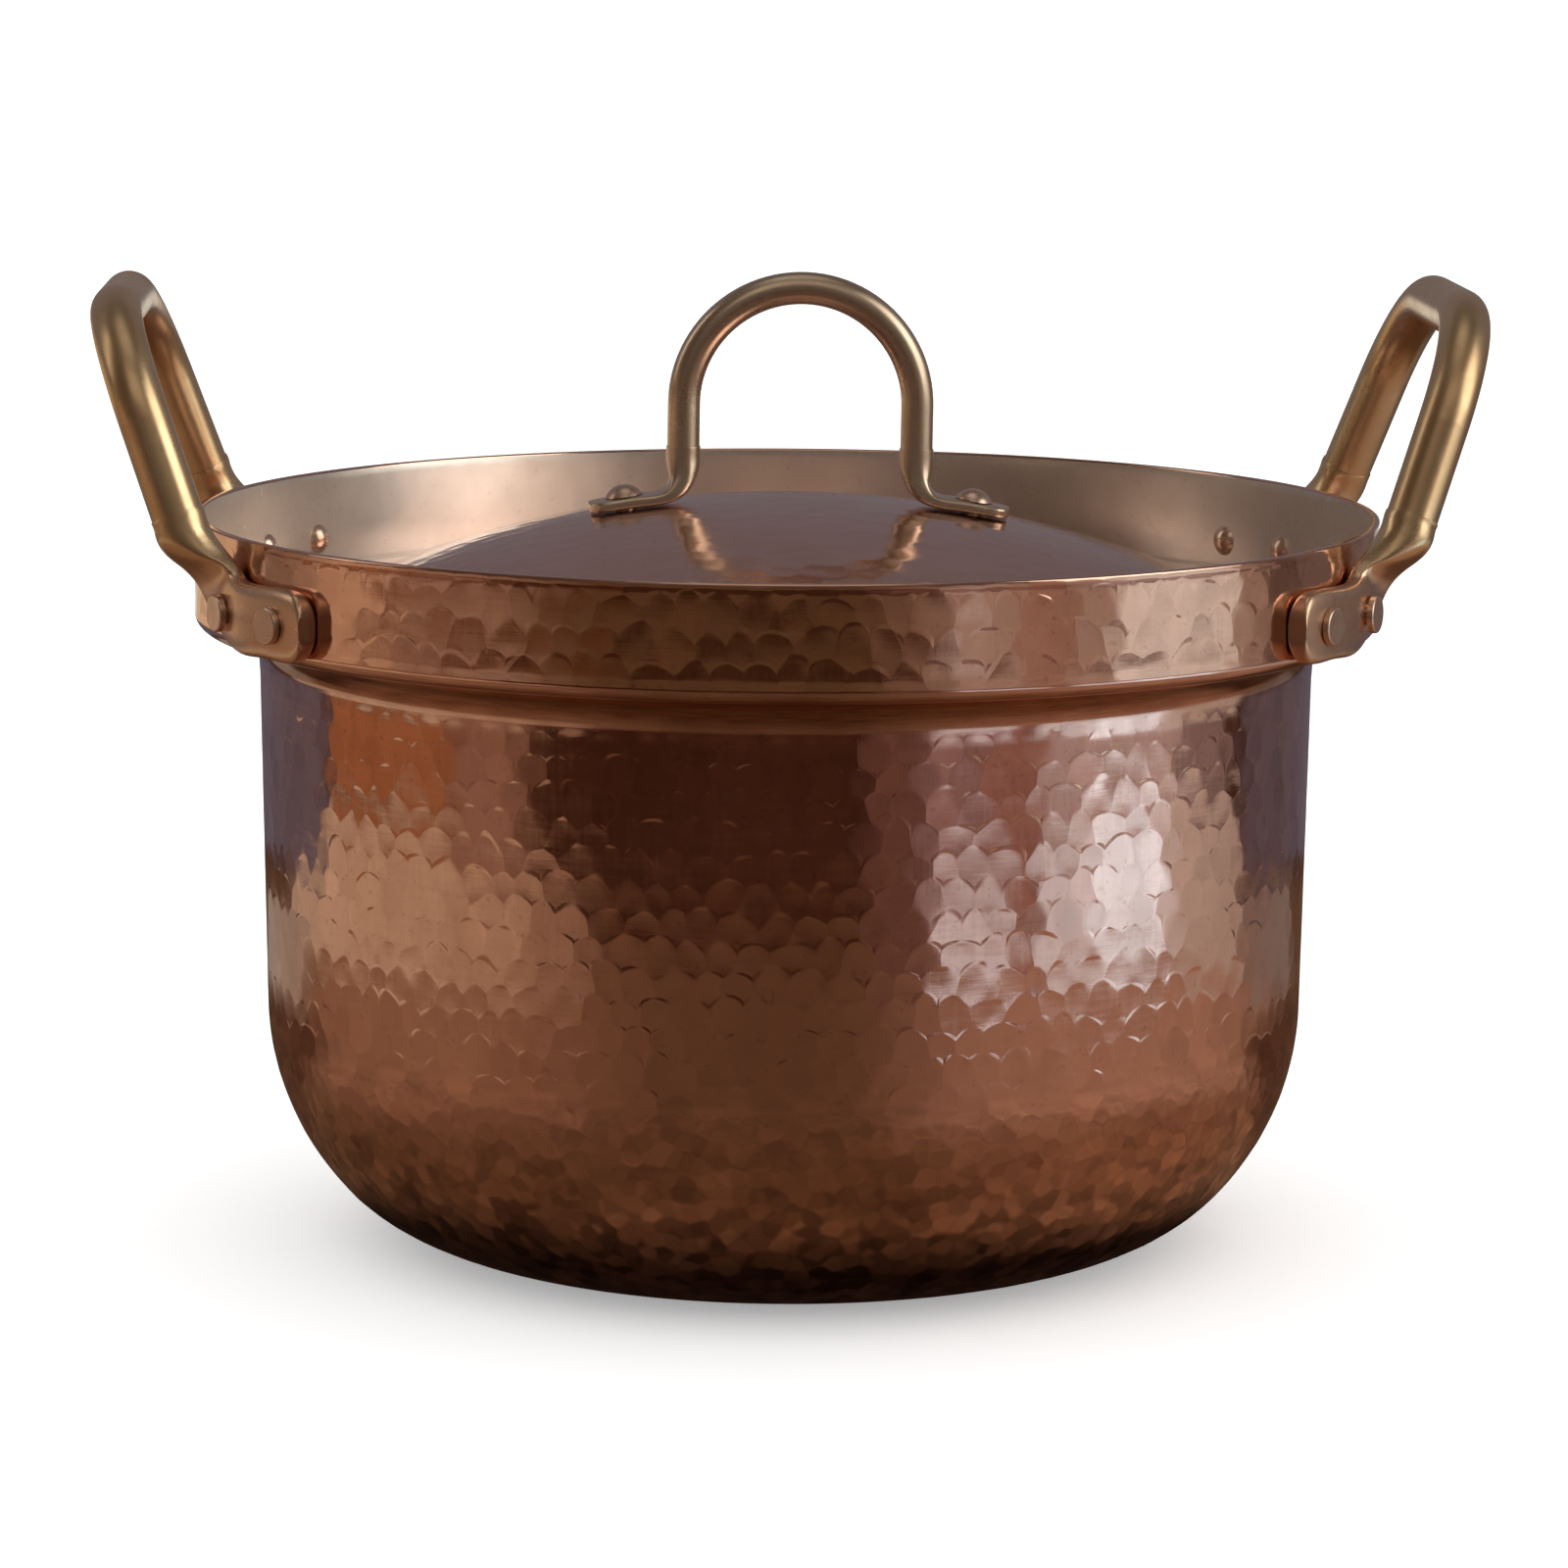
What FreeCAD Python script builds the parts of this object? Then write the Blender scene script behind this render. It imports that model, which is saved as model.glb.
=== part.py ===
# Lidded copper pot: raised body with a wide collar, domed lid, brass handles and rivets
# Millimetres, +Z up, origin at the middle of the flat base, +X towards the right handle
import FreeCAD, Part
import math
import os

V = FreeCAD.Vector

# Pot body, one raised sheet
sheet = 2.0
belly_radius = 130.2
wall_top = 144.5
wall_taper_deg = 1.0
foot_radius = 46.5
foot_turn_deg = 47.5
flank_radius = 67.0
cove_radius = 9.0
collar_overhang = 15.8
lip_radius = 3.5
collar_height = 27.7
rim_edge = 0.5

# Lid, one raised sheet
lid_sheet = 1.5
lid_seat_gap = 0.3
lid_side_gap = 0.6
dome_radius = 275.0
dome_rise = 27.0
dome_join_radius = 6.0
lid_edge = 0.4

# Lid handle, one bent rod with flattened feet
lid_rod_radius = 4.0
arch_radius = 28.8
lid_handle_rise = 55.7
lid_handle_shift = 3.0
foot_bend_radius = 7.0
foot_thickness = 3.0
foot_width = 12.0
foot_length = 23.0
foot_corner = 4.6
foot_neck = 6.0
foot_gap = 0.15
foot_rivet_inset = 9.0

# Side handles, thick bent rods with flattened pads
rod_radius = 6.25
handle_rise = 56.8
handle_half_width = 58.8
handle_standoff = 4.3
handle_lean_deg = 19.5
handle_splay_deg = 12.7
corner_radius = 32.0
neck_rise = 5.0
pad_gap = 0.15
pad_thickness = 5.0
pad_height = 16.8
pad_drop = 17.4
pad_bend_radius = 16.0
pad_length = 38.5
pad_corner = 5.5
root_rivet_inset = 36.5
tip_rivet_inset = 11.5

# Forging of the rods' ends
forge_swell = 0.25
neck_overlap = 2.0
path_step = 0.2
section_points = 24
pad_squeeze_shares = (0.6, 0.3)
foot_squeeze_shares = (0.5, 1)
lead_shares = (0, 0.5)
squeeze_shares = (0, 0.25, 0.5, 0.75, 1)
pad_shares = (0.35, 0.7)
corner_shares = (0, 0.45, 0.75, 0.93, 1)

# Rivets
shank_radius = 2.5
shank_gap = 0.05
head_gap = 0.12
pad_head_radius = 4.5
pad_head_height = 1.5
pad_head_edge = 0.5
inner_head_radius = 3.8
inner_head_height = 2.0
lid_head_radius = 4.7
lid_head_height = 2.8
lid_under_radius = 4.0
lid_under_height = 1.2
lid_under_edge = 0.4
spot_gap = 0.3

# One overrun serves all cuts
overrun = 10.0

# Squareness of a forged section: 2 is round, more is a rounded rectangle
round_share = 2.0
square_share = 4.6

# Heights that follow from the sizes above
wall_taper = math.radians(wall_taper_deg)
foot_turn = math.radians(foot_turn_deg)
lean = math.radians(handle_lean_deg)
splay = math.radians(handle_splay_deg)
collar_radius = belly_radius + collar_overhang
cove_centre_r = belly_radius + cove_radius * math.cos(wall_taper)
cove_centre_z = wall_top - cove_radius * math.sin(wall_taper)
collar_bottom = cove_centre_z + cove_radius
ledge_z = collar_bottom + sheet
rim_z = collar_bottom + collar_height
lid_radius = collar_radius - sheet - head_gap - inner_head_height - lid_side_gap
flange_z = ledge_z + lid_seat_gap + lid_sheet
apex_z = flange_z + dome_rise
dome_centre_z = apex_z - dome_radius
pad_z = rim_z - pad_drop
pad_middle = collar_radius + pad_gap + pad_thickness / 2


# Small helpers
def at(r, z):
    """Point of a half section, at radius r and height z."""
    return V(r, 0, z)


def polar(centre, radius, angle):
    """Point of a half section, on a circle about centre."""
    return centre + V(radius * math.cos(angle), 0, radius * math.sin(angle))


def arc_edge(centre, radius, start, end):
    """Arc of a half section, between two angles in radians."""
    middle = (start + end) / 2
    points = [polar(centre, radius, angle) for angle in (start, middle, end)]
    return Part.Arc(*points).toShape()


def line_edge(start, end):
    """Straight edge between two points."""
    return Part.makeLine(start, end)


def spin(edges):
    """Solid of revolution about Z from the edges of a closed half section."""
    face = Part.Face(Part.Wire(Part.__sortEdges__(edges)))
    return face.revolve(V(0, 0, 0), V(0, 0, 1), 360)


def mirrored_x(shape):
    """Copy on the other side of the YZ plane."""
    return shape.mirror(V(0, 0, 0), V(1, 0, 0))


def mirrored_y(shape):
    """Copy on the other side of the XZ plane."""
    return shape.mirror(V(0, 0, 0), V(0, 1, 0))


# Pot body
def pot_side(inset):
    """One side of the pot's sheet from the axis to the lip, inset from the outside."""
    base_angle = -math.pi / 2
    foot_end = base_angle + foot_turn
    flank_end = -wall_taper
    drop = flank_radius * (math.cos(foot_turn) - math.sin(wall_taper))
    foot_rise = foot_radius * (1 - math.cos(foot_turn))
    wall_low = foot_rise + drop
    wall_low_r = belly_radius - math.tan(wall_taper) * (wall_top - wall_low)
    foot_run = foot_radius * math.sin(foot_turn)
    flank_run = flank_radius * (math.cos(wall_taper) - math.sin(foot_turn))
    base_radius = wall_low_r - foot_run - flank_run
    foot_centre = at(base_radius, foot_radius)
    flank_centre = at(wall_low_r, wall_low) - V(
        flank_radius * math.cos(wall_taper), 0, -flank_radius * math.sin(wall_taper))
    cove_centre = at(cove_centre_r, cove_centre_z)
    cove_start = math.pi - wall_taper
    cove_top = cove_radius + inset
    lip_centre = at(collar_radius - lip_radius, collar_bottom + lip_radius)
    lip_inner = lip_radius - inset
    foot = arc_edge(foot_centre, foot_radius - inset, base_angle, foot_end)
    flank = arc_edge(flank_centre, flank_radius - inset, foot_end, flank_end)
    cove = arc_edge(cove_centre, cove_top, cove_start, math.pi / 2)
    lip = arc_edge(lip_centre, lip_inner, base_angle, 0)
    wall_start = polar(flank_centre, flank_radius - inset, flank_end)
    wall_end = polar(cove_centre, cove_top, cove_start)
    return [
        line_edge(at(0, inset), at(base_radius, inset)),
        foot,
        flank,
        line_edge(wall_start, wall_end),
        cove,
        line_edge(polar(cove_centre, cove_top, math.pi / 2), polar(lip_centre, lip_inner, base_angle)),
        lip,
        line_edge(polar(lip_centre, lip_inner, 0), at(collar_radius - inset, rim_z - rim_edge)),
    ]


def rim_edges():
    """Rim of the collar: a flat top with two softened corners."""
    inner = collar_radius - sheet
    outer_corner = at(collar_radius - rim_edge, rim_z - rim_edge)
    inner_corner = at(inner + rim_edge, rim_z - rim_edge)
    return [
        arc_edge(outer_corner, rim_edge, 0, math.pi / 2),
        line_edge(at(collar_radius - rim_edge, rim_z), at(inner + rim_edge, rim_z)),
        arc_edge(inner_corner, rim_edge, math.pi / 2, math.pi),
    ]


def pot_body():
    """Raised sheet with flat base, rounded foot, belly, cove, ledge and collar."""
    closing = [line_edge(at(0, 0), at(0, sheet))]
    body = spin(pot_side(0) + rim_edges() + pot_side(sheet) + closing)
    for hole in collar_holes():
        body = body.cut(hole)
    return body


# Lid
def lid_side(inset):
    """One side of the lid's sheet from the apex to the flange, inset from the top."""
    join_height = flange_z + dome_join_radius - dome_centre_z
    reach = dome_radius + dome_join_radius
    join_r = math.sqrt(reach ** 2 - join_height ** 2)
    join_angle = math.atan2(join_height, join_r)
    dome_centre = at(0, dome_centre_z)
    join_centre = at(join_r, flange_z + dome_join_radius)
    dome = arc_edge(dome_centre, dome_radius - inset, math.pi / 2, join_angle)
    join_top = dome_join_radius + inset
    join = arc_edge(join_centre, join_top, join_angle - math.pi, -math.pi / 2)
    flange_edge = at(lid_radius - lid_edge, flange_z - inset)
    flange = line_edge(polar(join_centre, join_top, -math.pi / 2), flange_edge)
    return [dome, join, flange]


def lid_rim_edges():
    """Outer edge of the lid's flange with two softened corners."""
    underside = flange_z - lid_sheet
    upper_corner = at(lid_radius - lid_edge, flange_z - lid_edge)
    lower_corner = at(lid_radius - lid_edge, underside + lid_edge)
    return [
        arc_edge(upper_corner, lid_edge, math.pi / 2, 0),
        line_edge(at(lid_radius, flange_z - lid_edge), at(lid_radius, underside + lid_edge)),
        arc_edge(lower_corner, lid_edge, 0, -math.pi / 2),
    ]


def lid():
    """Raised sheet with a dome and a flat flange that rests on the pot's ledge."""
    closing = [line_edge(at(0, apex_z), at(0, apex_z - lid_sheet))]
    body = spin(lid_side(0) + lid_rim_edges() + lid_side(lid_sheet) + closing)
    for side in (-1, 1):
        body = body.cut(on_dome(shank_hole(dome_radius), side))
    return body


# Rivets
def round_head(radius, height):
    """Domed head on the plane z = 0, as edges of a half section ending on the axis."""
    cap_radius = (radius ** 2 + height ** 2) / (2 * height)
    centre = at(0, height - cap_radius)
    rim_angle = math.asin((cap_radius - height) / cap_radius)
    return [arc_edge(centre, cap_radius, rim_angle, math.pi / 2)], radius, height


def flat_head(radius, height, edge):
    """Flat head on the plane z = 0 with a softened edge, as edges ending on the axis."""
    corner = at(radius - edge, height - edge)
    edges = [
        line_edge(at(radius, 0), at(radius, height - edge)),
        arc_edge(corner, edge, 0, math.pi / 2),
        line_edge(at(radius - edge, height), at(0, height)),
    ]
    return edges, radius, height


def head_solid(head):
    """Solid of a head that stands on the plane z = 0."""
    edges, radius, height = head
    closing = [line_edge(at(0, 0), at(radius, 0)), line_edge(at(0, height), at(0, 0))]
    return spin(edges + closing)


def rivet(low, high, under, over):
    """Rivet along Z, its under head below z = low and its over head above z = high."""
    shank = Part.makeCylinder(shank_radius, high - low, V(0, 0, low))
    upper = head_solid(over).translated(V(0, 0, high))
    lower = head_solid(under).rotated(V(0, 0, 0), V(1, 0, 0), 180).translated(V(0, 0, low))
    return shank.fuse([upper, lower]).removeSplitter()


def shank_hole(middle):
    """Cutter along Z for a shank, through the sheets about z = middle."""
    reach = 2 * overrun
    return Part.makeCylinder(shank_radius + shank_gap, 2 * reach, V(0, 0, middle - reach))


def on_dome(shape, side):
    """Turn a shape built along Z from the dome's centre to the foot rivet's place."""
    along = arch_radius + foot_length - foot_rivet_inset
    tilt = math.degrees(math.asin(along / dome_radius))
    lifted = shape.translated(V(0, 0, dome_centre_z))
    return off_middle(lifted.rotated(V(0, 0, dome_centre_z), V(0, 1, 0), side * tilt))


def off_middle(shape):
    """Turn about the dome's centre by the distance that the lid handle sits off the middle."""
    tilt = math.degrees(math.asin(lid_handle_shift / dome_radius))
    return shape.rotated(V(0, 0, dome_centre_z), V(0, 1, 0), tilt)


def lid_rivet(side):
    """Rivet through one foot of the lid handle and the lid."""
    low = dome_radius - lid_sheet - head_gap
    high = dome_radius + foot_gap + foot_thickness + head_gap
    under = flat_head(lid_under_radius, lid_under_height, lid_under_edge)
    over = round_head(lid_head_radius, lid_head_height)
    return on_dome(rivet(low, high, under, over), side)


# Forged ends: sections that change from a round rod to a flat pad
def section_wire(centre, forward, outward, half_thickness, half_width, squareness):
    """Closed section across the path, between an ellipse and a rounded rectangle."""
    across = (outward - forward * outward.dot(forward)).normalize()
    sideways = forward.cross(across)
    power = 2 / squareness
    points = []
    for step in range(section_points):
        angle = 2 * math.pi * step / section_points
        c = math.cos(angle)
        s = math.sin(angle)
        x = math.copysign(abs(c) ** power, c) * half_thickness
        y = math.copysign(abs(s) ** power, s) * half_width
        points.append(centre + across * x + sideways * y)
    curve = Part.BSplineCurve()
    curve.interpolate(Points=points, PeriodicFlag=True)
    return Part.Wire([curve.toShape()])


def mix(start, end, share):
    """Value between start and end."""
    return start + (end - start) * share


def forged_end(path, start, squeeze_start, squeeze_end, tip, rod, thickness, width, corner):
    """Solid along a path: a round rod squeezed to a flat pad whose tip has rounded corners."""
    body_end = tip - corner
    stations = [(mix(start, squeeze_start, share), 0, 1) for share in lead_shares]
    for share in squeeze_shares:
        stations.append((mix(squeeze_start, squeeze_end, share), share * share * (3 - 2 * share), 1))
    stations += [(mix(squeeze_end, body_end, share), 1, 1) for share in pad_shares]
    for share in corner_shares:
        kept = 1 - corner / width * (1 - math.sqrt(1 - share ** 2))
        stations.append((body_end + corner * share, 1, kept))
    wires = []
    for run, squeeze, kept in stations:
        centre, outward = path(run, squeeze)
        forward = (path(run + path_step, squeeze)[0] - path(run - path_step, squeeze)[0]).normalize()
        half_thickness = mix(rod, thickness, squeeze)
        half_width = mix(rod, width, squeeze) * kept
        squareness = mix(round_share, square_share, squeeze)
        wires.append(section_wire(centre, forward, outward, half_thickness, half_width, squareness))
    return Part.makeLoft(wires, True, False)


def swept_rod(path_edges, radius):
    """Round rod along a smooth chain of edges."""
    wire = Part.Wire(path_edges)
    first = path_edges[0]
    start = first.valueAt(first.FirstParameter)
    direction = first.tangentAt(first.FirstParameter)
    profile = Part.Wire([Part.Circle(start, direction, radius).toShape()])
    return wire.makePipeShell([profile], True, False)


# Lid handle
def foot_path(run, squeeze):
    """Middle of a lid handle's foot at a run from the start of its bend, and its outer side."""
    middle = dome_radius + foot_gap + foot_thickness / 2
    pivot_r = arch_radius + foot_bend_radius
    first_tilt = math.asin(pivot_r / (middle + foot_bend_radius))
    pivot = at(pivot_r, dome_centre_z + (middle + foot_bend_radius) * math.cos(first_tilt))
    turn = math.pi / 2 - first_tilt
    bend_run = foot_bend_radius * turn
    if run < 0:
        return at(arch_radius, pivot.z - run), V(1, 0, 0)
    if run < bend_run:
        angle = run / foot_bend_radius
        outward = V(math.cos(angle), 0, math.sin(angle))
        return pivot - outward * foot_bend_radius, outward
    tilt = first_tilt + (run - bend_run) / middle
    outward = V(math.sin(tilt), 0, math.cos(tilt))
    return at(0, dome_centre_z) + outward * middle, outward


def lid_foot():
    """Right foot of the lid handle."""
    middle = dome_radius + foot_gap + foot_thickness / 2
    first_tilt = math.asin((arch_radius + foot_bend_radius) / (middle + foot_bend_radius))
    last_tilt = math.asin((arch_radius + foot_length) / middle)
    bend_run = foot_bend_radius * (math.pi / 2 - first_tilt)
    tip = bend_run + middle * (last_tilt - first_tilt)
    squeeze_start, squeeze_end = foot_squeeze_shares
    return forged_end(foot_path, -foot_neck, -foot_neck * squeeze_start, bend_run * squeeze_end, tip,
                      lid_rod_radius + forge_swell, foot_thickness / 2, foot_width / 2, foot_corner)


def lid_handle():
    """Arched rod with two feet that follow the dome."""
    arch_z = apex_z + lid_handle_rise - lid_rod_radius - arch_radius
    low = foot_path(-foot_neck, 0)[0].z - neck_overlap
    left_low = at(-arch_radius, low)
    right_low = at(arch_radius, low)
    left_high = at(-arch_radius, arch_z)
    right_high = at(arch_radius, arch_z)
    crown = at(0, arch_z + arch_radius)
    rod = swept_rod([
        line_edge(left_low, left_high),
        Part.Arc(left_high, crown, right_high).toShape(),
        line_edge(right_high, right_low),
    ], lid_rod_radius)
    foot = lid_foot()
    handle = off_middle(rod.fuse([foot, mirrored_x(foot)]).removeSplitter())
    for side in (-1, 1):
        handle = handle.cut(on_dome(shank_hole(dome_radius), side))
    return handle


# Side handles, worked out for the back end of the right one
def handle_point(rise, side):
    """Point of the handle's leaning plane, from the rim upwards and from the middle sideways."""
    reach = collar_radius + handle_standoff + rod_radius
    rim_x = math.sqrt(reach ** 2 - handle_half_width ** 2)
    return V(rim_x + rise * math.sin(lean), side, rim_z + rise * math.cos(lean))


def leg_point(rise):
    """Point on the middle line of the back leg."""
    return handle_point(rise, handle_half_width - rise * math.tan(splay))


def pad_path(run, squeeze):
    """Middle of a pad at a run from the start of its bend, and its outer side."""
    corner, slant, bend_reach, turn = pad_corner_place()
    if run < 0:
        along = corner[0] - (bend_reach - run) * math.sin(slant)
        height = corner[1] + (bend_reach - run) * math.cos(slant)
    elif run < pad_bend_radius * turn:
        angle = slant + run / pad_bend_radius
        start_along = corner[0] - bend_reach * math.sin(slant)
        start_height = corner[1] + bend_reach * math.cos(slant)
        along = start_along + pad_bend_radius * (math.cos(slant) - math.cos(angle))
        height = start_height - pad_bend_radius * (math.sin(angle) - math.sin(slant))
    else:
        along = corner[0] + bend_reach + run - pad_bend_radius * turn
        height = corner[1]
    azimuth = along / pad_middle
    leg = leg_point((height - rim_z) / math.cos(lean))
    radius = mix(math.hypot(leg.x, leg.y), pad_middle, squeeze)
    outward = V(math.cos(azimuth), math.sin(azimuth), 0)
    return outward * radius + V(0, 0, height), outward


def developed(point):
    """Length along the collar and height of a point, measured at the pad's middle."""
    return pad_middle * math.atan2(point.y, point.x), point.z


def pad_corner_place():
    """Where the leg's line meets the pad's line, its slant, the bend's reach and its turn."""
    top = developed(leg_point(neck_rise / math.cos(lean)))
    low = developed(leg_point((pad_z - rim_z) / math.cos(lean)))
    slant = math.atan2(low[0] - top[0], top[1] - low[1])
    turn = math.pi / 2 - slant
    return low, slant, pad_bend_radius * math.tan(turn / 2), turn


def pad_azimuth(inset):
    """Azimuth in degrees of a place on the pad, at an inset from its tip."""
    corner = pad_corner_place()[0]
    return math.degrees((corner[0] + pad_length - inset) / pad_middle)


def pad_end():
    """Back pad of the right handle with its neck."""
    corner, slant, bend_reach, turn = pad_corner_place()
    bend_run = pad_bend_radius * turn
    start = -((rim_z + neck_rise - pad_z) / math.cos(slant) - bend_reach)
    tip = bend_run + pad_length - bend_reach
    squeeze_start, squeeze_end = pad_squeeze_shares
    return forged_end(pad_path, start, start * squeeze_start, bend_run * squeeze_end, tip,
                      rod_radius + forge_swell, pad_thickness / 2, pad_height / 2, pad_corner)


def handle_rod():
    """Round part of the right handle: two legs, two corners and the grip."""
    top = (handle_rise - rod_radius) / math.cos(lean)
    turn = math.pi / 2 - splay
    flat = handle_half_width - top * math.tan(splay) - corner_radius * math.tan(turn / 2)
    low_rise = (neck_rise - neck_overlap) / math.cos(lean)
    half = []
    for angle in (splay, (splay + math.pi / 2) / 2, math.pi / 2):
        rise = top - corner_radius + corner_radius * math.sin(angle)
        half.append((rise, flat + corner_radius * math.cos(angle)))
    back = [handle_point(rise, side) for rise, side in half]
    front = [handle_point(rise, -side) for rise, side in half]
    back_low = leg_point(low_rise)
    front_low = V(back_low.x, -back_low.y, back_low.z)
    return swept_rod([
        line_edge(front_low, front[0]),
        Part.Arc(*front).toShape(),
        line_edge(front[2], back[2]),
        Part.Arc(*reversed(back)).toShape(),
        line_edge(back[0], back_low),
    ], rod_radius)


def right_handle():
    """Leaning loop with two pads that follow the collar, drilled for its rivets."""
    end = pad_end()
    handle = handle_rod().fuse([end, mirrored_y(end)]).removeSplitter()
    seat = collar_radius + pad_gap + pad_thickness
    spot = Part.makeCylinder(pad_head_radius + spot_gap, overrun, V(0, 0, seat))
    for inset in (root_rivet_inset, tip_rivet_inset):
        for sign in (-1, 1):
            azimuth = sign * pad_azimuth(inset)
            handle = handle.cut(on_collar(shank_hole(collar_radius), azimuth))
            handle = handle.cut(on_collar(spot, azimuth))
    return handle


# Rivets of the side handles
def on_collar(shape, azimuth):
    """Turn a shape built along Z to point outwards through the collar at a pad's height."""
    outwards = shape.rotated(V(0, 0, 0), V(0, 1, 0), 90)
    return outwards.rotated(V(0, 0, 0), V(0, 0, 1), azimuth).translated(V(0, 0, pad_z))


def pad_azimuths():
    """Name and azimuth of each of the eight rivets of the side handles."""
    places = []
    for side_name, side in (("left", -1), ("right", 1)):
        for end_name, end in (("front", -1), ("back", 1)):
            for place_name, inset in (("root", root_rivet_inset), ("tip", tip_rivet_inset)):
                angle = math.radians(pad_azimuth(inset))
                azimuth = math.degrees(math.atan2(end * math.sin(angle), side * math.cos(angle)))
                places.append((side_name + "_rivet_" + end_name + "_" + place_name, azimuth))
    return places


def collar_holes():
    """Cutters for the eight rivet holes in the collar."""
    return [on_collar(shank_hole(collar_radius), azimuth) for name, azimuth in pad_azimuths()]


def pad_rivet(azimuth):
    """Rivet through a pad and the collar: flat head outside, domed head inside."""
    low = collar_radius - sheet - head_gap
    high = collar_radius + pad_gap + pad_thickness + head_gap
    under = round_head(inner_head_radius, inner_head_height)
    over = flat_head(pad_head_radius, pad_head_height, pad_head_edge)
    return on_collar(rivet(low, high, under, over), azimuth)


# Build and export
def build():
    """Shape of each node."""
    handle = right_handle()
    nodes = {
        "pot_body": pot_body(),
        "lid": lid(),
        "lid_handle": lid_handle(),
        "lid_rivet_left": lid_rivet(-1),
        "lid_rivet_right": lid_rivet(1),
        "right_handle": handle,
        "left_handle": mirrored_x(handle),
    }
    for name, azimuth in pad_azimuths():
        nodes[name] = pad_rivet(azimuth)
    return nodes


os.makedirs("parts", exist_ok=True)
for node, shape in build().items():
    shape.exportStep("parts/" + node + ".step")
    print(node, "solids", len(shape.Solids), "valid", shape.isValid(), "volume", round(shape.Volume))
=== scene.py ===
import logging
import math
import random
from dataclasses import dataclass, replace
from enum import Enum
from functools import cached_property

import bpy
from bpy.types import Material, Node, NodeSocket, NodeTree, Object
from mathutils import Matrix, Vector
from mathutils.kdtree import KDTree


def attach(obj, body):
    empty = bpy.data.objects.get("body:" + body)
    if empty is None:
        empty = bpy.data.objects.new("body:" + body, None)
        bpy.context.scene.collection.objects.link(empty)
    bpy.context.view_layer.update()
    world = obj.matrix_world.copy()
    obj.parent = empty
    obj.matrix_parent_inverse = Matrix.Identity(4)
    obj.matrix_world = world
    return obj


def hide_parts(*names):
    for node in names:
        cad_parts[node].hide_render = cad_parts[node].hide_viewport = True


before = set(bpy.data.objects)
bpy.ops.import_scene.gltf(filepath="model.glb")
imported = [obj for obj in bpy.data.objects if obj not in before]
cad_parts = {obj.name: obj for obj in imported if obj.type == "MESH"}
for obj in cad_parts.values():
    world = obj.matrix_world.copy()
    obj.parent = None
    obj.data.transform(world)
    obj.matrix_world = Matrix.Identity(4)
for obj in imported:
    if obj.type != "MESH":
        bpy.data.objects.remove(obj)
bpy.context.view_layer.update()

MM = 0.001
QUARTER = math.pi / 2
PHOTO_TURN = math.radians(2.5)  # the photograph's side, from the front towards the left handle
log = logging.getLogger("copper_pot")

Point = tuple[float, float]
Triple = tuple[float, float, float]


class Body(Enum):
    """The two bodies of the pot."""

    POT = "pot"
    LID = "lid"


class Slot(Enum):
    """Names of material slots, held by each new sheet but not used here."""

    POT = "pot_copper"
    LID = "lid_copper"


# Profiles
def arc(centre: Point, radius: float, start: float, end: float, steps: int) -> list[Point]:
    """Points of an arc of a half section, without its first point.

    Args:
        centre: Radius and height of the arc's middle.
        radius: Radius of the arc.
        start: First angle in radians.
        end: Last angle in radians.
        steps: Number of points.

    Returns:
        Points from just after the first angle to the last.
    """
    angles = [start + (end - start) * step / steps for step in range(1, steps + 1)]
    return [(centre[0] + radius * math.cos(angle), centre[1] + radius * math.sin(angle)) for angle in angles]


def run(start: Point, end: Point, steps: int) -> list[Point]:
    """Evenly spaced points of a straight run, without its first point."""
    return [(start[0] + (end[0] - start[0]) * step / steps, start[1] + (end[1] - start[1]) * step / steps)
            for step in range(1, steps + 1)]


def ramp(value: float, low: float, high: float) -> float:
    """Smooth step from 0 at low to 1 at high."""
    share = min(1.0, max(0.0, (value - low) / (high - low)))
    return share * share * (3 - 2 * share)


class Profile:
    """Half section of one skin, in millimetres, with the length up to each point."""

    def __init__(self, points: list[Point]) -> None:
        """Keep the points and add up the lengths between them."""
        self.points = points
        self.lengths = [0.0]
        for before, after in zip(points, points[1:]):
            self.lengths.append(self.lengths[-1] + math.dist(before, after))

    def at(self, along: float) -> Point:
        """Radius and height at a length from the start."""
        for number in range(1, len(self.points)):
            start, end = self.lengths[number - 1:number + 1]
            if end >= along:
                share = (along - start) / max(1e-9, end - start)
                before, after = self.points[number - 1:number + 1]
                return before[0] + (after[0] - before[0]) * share, before[1] + (after[1] - before[1]) * share
        return self.points[-1]

    def reach(self, height: float) -> float:
        """Length from a start low down to where the skin comes up to a height."""
        for total, before, after in zip(self.lengths, self.points, self.points[1:]):
            if after[1] >= height > before[1]:
                return total + math.dist(before, after) * (height - before[1]) / (after[1] - before[1])
        return self.lengths[-1]


# Hammer blows
@dataclass(frozen=True)
class Ripple:
    """One slow wave that keeps rows of blows from being too even."""

    turns: int
    rate: float
    phase: float
    share: float


SWAY = (Ripple(23, 160.0, 0.0, 0.7), Ripple(41, -420.0, 1.3, 0.3))
ROCK = (Ripple(19, -260.0, 2.1, 0.6), Ripple(37, 500.0, 0.4, 0.4))


def wave(ripples: tuple[Ripple, ...], azimuth: float, height: float) -> float:
    """Sum of ripples at an azimuth in radians and a height in metres."""
    return sum(part.share * math.sin(part.turns * azimuth + part.rate * height + part.phase)
               for part in ripples)


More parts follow.
